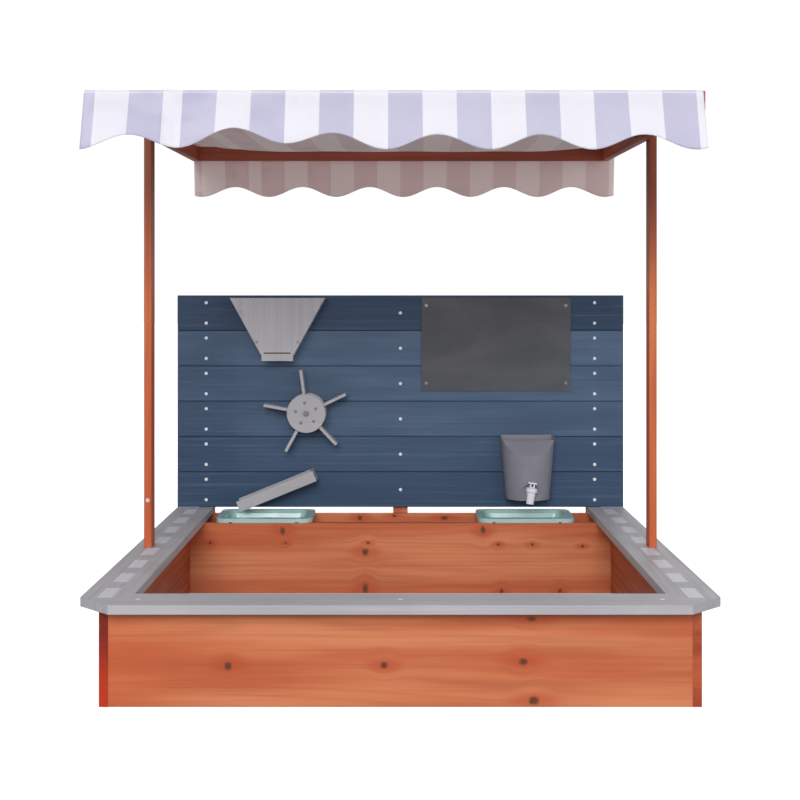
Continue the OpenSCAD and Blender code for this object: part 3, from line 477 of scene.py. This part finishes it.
# Places are in the canopy's own frame: x across, y back and z up from the pivots, before the tilt.
pivot = np.array([0.0, -0.011, 1.113])
tilt = math.radians(1.4)
half_wide, half_long, roof = 0.5575, 0.5588, 0.0213
columns, rows_down, rows_over = 264, 26, 100
stripe, first_stripe, hem_width, pocket_width = 0.0616, 0.318, 0.010, 0.020
scallop_front, scallop_rear = 0.1835, 0.1790
tuck_at, tuck_takes = -0.405, 0.027
# The sag starts at the inner faces of the side bars and of the cross bars.
sag_depth, side_bar_inside, cross_bar_inside = 0.041, 0.5315, 0.539
# The cloth sits a little askew on the frame: its front edge to the left, its rear edge to the right.
shift_front, shift_rear = -0.012, 0.010


def smooth(value, low, high):
    """0 below low and 1 above high, with an even slope at both ends."""
    t = np.clip((value - low) / (high - low), 0, 1)
    return t * t * (3 - 2 * t)


def hump(value, middle, width):
    """A bell: 1 at the middle, falling away over the width."""
    return np.exp(-(((value - middle) / width) ** 2))


def canopy_sheet():
    """Rows run from the front hem up the valance, over the roof and down to the rear hem; columns from left to right.
    Hem height is a cosine along the width. The roof sags as the product of two flattened arcs.
    A valance bows out a little more the further down it is, in a slow wave, with one tuck near the left."""
    u = np.linspace(-half_wide, half_wide, columns)
    down = np.linspace(0, 1, rows_down)[1:]
    front_hem = -0.0728 - 0.0135 * np.cos(2 * np.pi * (u + 0.013) / scallop_front) + 0.0135 * hump(u, -0.245, 0.11)
    rear_hem = -0.0970 - 0.0132 * np.cos(2 * np.pi * (u + 0.002) / scallop_rear)
    cloth_x = u - tuck_takes * smooth(-u, 0.388, 0.412)

    def valance(hem, side, wave, phase):
        d = down[:, None] ** 1.15
        z = (roof - 0.004) + (hem[None, :] - roof + 0.004) * down[:, None]
        bow = 0.0015 + 0.004 * d + d * wave * np.sin(2 * np.pi * u / 0.37 + phase)[None, :]
        bow = bow + 0.0045 * d * np.sin(2 * np.pi * u / scallop_front + phase * 2)[None, :] * 0.5
        bow = bow + 0.006 * hump(u, tuck_at, 0.011)[None, :] * np.minimum(1, down[:, None] * 3)
        x = u[None, :] * (1 + (0.014 if side < 0 else -0.004) * d)
        y = side * (half_long + bow)
        return np.stack([x + 0 * z, y + 0 * z, z], -1)

    over = np.linspace(-1, 1, rows_over)
    over = np.sign(over) * (1 - (1 - np.abs(over)) ** 1.35)
    y_over = over * half_long
    across = 1 - np.clip(np.abs(u) / side_bar_inside, 0, 1) ** 7
    along = 1 - np.clip(np.abs(y_over) / cross_bar_inside, 0, 1) ** 3
    sag = sag_depth * across[None, :] * along[:, None]
    ripple = 0.0018 * np.sin(2 * np.pi * u / 0.21 + 0.8)[None, :] * np.sin(np.pi * (over + 1) / 2)[:, None] ** 2
    edge_turn = 0.004 * (1 - np.sqrt(np.clip(1 - smooth(np.abs(y_over), half_long - 0.008, half_long) ** 2, 0, 1)))
    z_over = roof - sag + ripple * across[None, :] - edge_turn[:, None]
    z_over = z_over + 0.0012 * hump(u, tuck_at, 0.012)[None, :] * np.ones(rows_over)[:, None]
    top = np.stack([u[None, :] + 0 * z_over, y_over[:, None] + 0 * z_over, z_over], -1)
    front = valance(front_hem, -1, 0.0022, 0.6)[::-1]
    rear = valance(rear_hem, 1, 0.0022, 2.1)
    grid = np.concatenate([front, top, rear])
    skew = np.interp(grid[..., 1], [-half_long, half_long], [shift_front, shift_rear])
    grid[..., 0] += skew * (1 - hump(grid[..., 1], 0, 0.1))
    return grid, cloth_x


def turn_to_rest(points):
    """From the canopy's own frame, origin on the pivots, to the object's frame at its set tilt."""
    c, s = math.cos(tilt), math.sin(tilt)
    x, y, z = points[..., 0], points[..., 1], points[..., 2]
    return np.stack([x, y * c - z * s, y * s + z * c], -1) + pivot


def grid_piece(name, grid):
    """A mesh of quads through a grid of points."""
    rows, cols = grid.shape[:2]
    index = np.arange(rows * cols).reshape(rows, cols)
    left, right = index[:, :-1], index[:, 1:]
    quads = np.stack([left[:-1], right[:-1], right[1:], left[1:]], -1).reshape(-1, 4)
    mesh = bpy.data.meshes.new(name)
    mesh.from_pydata(grid.reshape(-1, 3).tolist(), [], quads.tolist())
    mesh.polygons.foreach_set("use_smooth", np.ones(len(quads), bool))
    mesh.update()
    piece = bpy.data.objects.new(name, mesh)
    bpy.context.scene.collection.objects.link(piece)
    return piece


def store(mesh, name, values):
    """Keeps one number for each vertex as an attribute."""
    mesh.attributes.new(name, "FLOAT", "POINT").data.foreach_set("value", values.astype(np.float32).ravel())


grid, cloth_x = canopy_sheet()
canopy = grid_piece("canopy_sheet", turn_to_rest(grid))
steps = np.linalg.norm(np.diff(grid, axis=0), axis=-1)
from_hem = np.concatenate([np.zeros((1, columns)), np.cumsum(steps, 0)])
to_rear_hem = from_hem[-1:] - from_hem
fold_row, rear_row = rows_down - 1, grid.shape[0] - rows_down
store(canopy.data, "cloth_x", np.broadcast_to(cloth_x, grid.shape[:2]))
store(canopy.data, "cloth_y", from_hem - from_hem[fold_row][None, :])
store(canopy.data, "hem_gap", np.minimum(from_hem, to_rear_hem))
below_edge = np.maximum(from_hem[fold_row] - from_hem, from_hem - from_hem[rear_row])
store(canopy.data, "below_edge", below_edge)


def striped_fabric(name, white, lavender, seam_shade):
    """Plain weave in even stripes. The weave is two crossed waves of thread; the hem and the pocket
    are a doubled layer with a row of stitches, each a short dash in a slight groove."""
    cloth = Finish(name, white, 0.85, sheen_weight=0.1, sheen_roughness=0.5, specular_ior_level=0.2,
                   subsurface_weight=0.7, subsurface_scale=0.003, subsurface_radius=(1.0, 0.95, 0.95))

    def read(attribute):
        return cloth.add("Attribute", {}, attribute_name=attribute, attribute_type="GEOMETRY").outputs["Fac"]

    across, along, gap, below = read("cloth_x"), read("cloth_y"), read("hem_gap"), read("below_edge")
    from_first = cloth.math("ADD", across, first_stripe + 8 * stripe)
    folds = cloth.math("MODULO", cloth.math("DIVIDE", from_first, stripe), 2.0)
    lav = cloth.math("GREATER_THAN", folds, 1.0)
    clouds = cloth.noise(cloth.place, 7.0, 3.0)
    drawn = cloth.vector(cloth.math("MULTIPLY", across, 900.0), cloth.math("MULTIPLY", along, 60.0), 0.0)
    slub = cloth.noise(drawn, 1.0, 2.0)
    colour = cloth.mix(lav, white, lavender)
    dim = shade(white, 0.90)
    colour = cloth.mix(cloth.span(clouds, 0.3, 0.75, 0.0, 0.14), colour, dim)
    colour = cloth.mix(cloth.span(slub, 0.4, 0.8, 0.0, 0.07), colour, dim)
    # Painted shade: the cloth is dimmed in a narrow band along each fold over the bars.
    painted_shade_at_fold = cloth.span(cloth.math("ABSOLUTE", below), 0.0008, 0.0020, 0.9, 0.0)
    colour = cloth.mix(painted_shade_at_fold, colour, dim)
    # Painted shade: soft darker lavender patches, strongest towards the left, for the shade in the cloth's creases.
    slant = cloth.vector(cloth.math("MULTIPLY_ADD", along, 7.0, cloth.math("MULTIPLY", across, 9.0)),
                         cloth.math("MULTIPLY_ADD", along, 16.0, cloth.math("MULTIPLY", across, -4.0)), 0.0)
    painted_crease_shade = cloth.math("MULTIPLY", cloth.span(cloth.noise(slant, 1.0, 1.0, 0.4), 0.45, 0.75),
                         cloth.span(across, -0.42, -0.05, 0.8, 0.2))
    painted_crease_shade = cloth.math("MULTIPLY", painted_crease_shade, cloth.math("MULTIPLY_ADD", lav, 0.45, 0.12))
    colour = cloth.mix(painted_crease_shade, colour, shade(lavender, 0.72, 0.70, 0.82))
    dash = cloth.math("GREATER_THAN", cloth.math("PINGPONG", across, 0.0021), 0.0006)
    hem_line = cloth.span(cloth.math("ABSOLUTE", cloth.math("SUBTRACT", gap, hem_width)), 0.0004, 0.0012, 1.0, 0.0)
    from_seam = cloth.math("ABSOLUTE", cloth.math("SUBTRACT", below, pocket_width))
    seam_line = cloth.span(from_seam, 0.0005, 0.0016, 1.0, 0.0)
    lines = cloth.math("MAXIMUM", hem_line, seam_line)
    colour = cloth.mix(cloth.math("MULTIPLY", lines, seam_shade), colour, shade(lavender, 0.6))
    weave = cloth.math("MULTIPLY", cloth.math("SINE", cloth.math("MULTIPLY", across, 5200.0)),
                       cloth.math("SINE", cloth.math("MULTIPLY", along, 5200.0)))
    doubled = cloth.math("MAXIMUM", cloth.span(gap, hem_width - 0.0002, hem_width + 0.0008, 1.0, 0.0),
                         cloth.span(below, pocket_width - 0.001, pocket_width + 0.001, 1.0, 0.0))
    height = cloth.math("MULTIPLY_ADD", weave, 0.05, cloth.math("MULTIPLY", doubled, 0.06))
    groove = cloth.math("MULTIPLY", lines, cloth.math("MULTIPLY_ADD", dash, 0.07, 0.03))
    height = cloth.math("SUBTRACT", height, groove)
    soft = cloth.noise(cloth.scaled(cloth.place, (1.0, 1.0, 0.6)), 9.0, 2.0, 0.8)
    height = cloth.math("MULTIPLY_ADD", soft, 5.0, height)
    cloth.set(cloth.shader, {"Base Color": colour})
    cloth.relief(height, 0.0008)
    return cloth


outside = striped_fabric("striped_fabric_outside", srgb(234, 232, 244), srgb(194, 192, 213), 0.02)
# Painted light: the underside is a lighter, pinker copy of the fabric with faint stripes, for light through the cloth
# and warm light bounced from the stained wood.
under = striped_fabric("striped_fabric_underside_painted_light", srgb(248, 226, 222), srgb(230, 208, 206), 0.02)
canopy.data.materials.append(outside.material)
canopy.data.materials.append(under.material)
thickness = canopy.modifiers.new("thickness", "SOLIDIFY")
thickness.thickness = 0.0011
thickness.offset = 0.0
thickness.material_offset = 1
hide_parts("canopy_top", "valance_front", "valance_rear")
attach(canopy, "canopy")
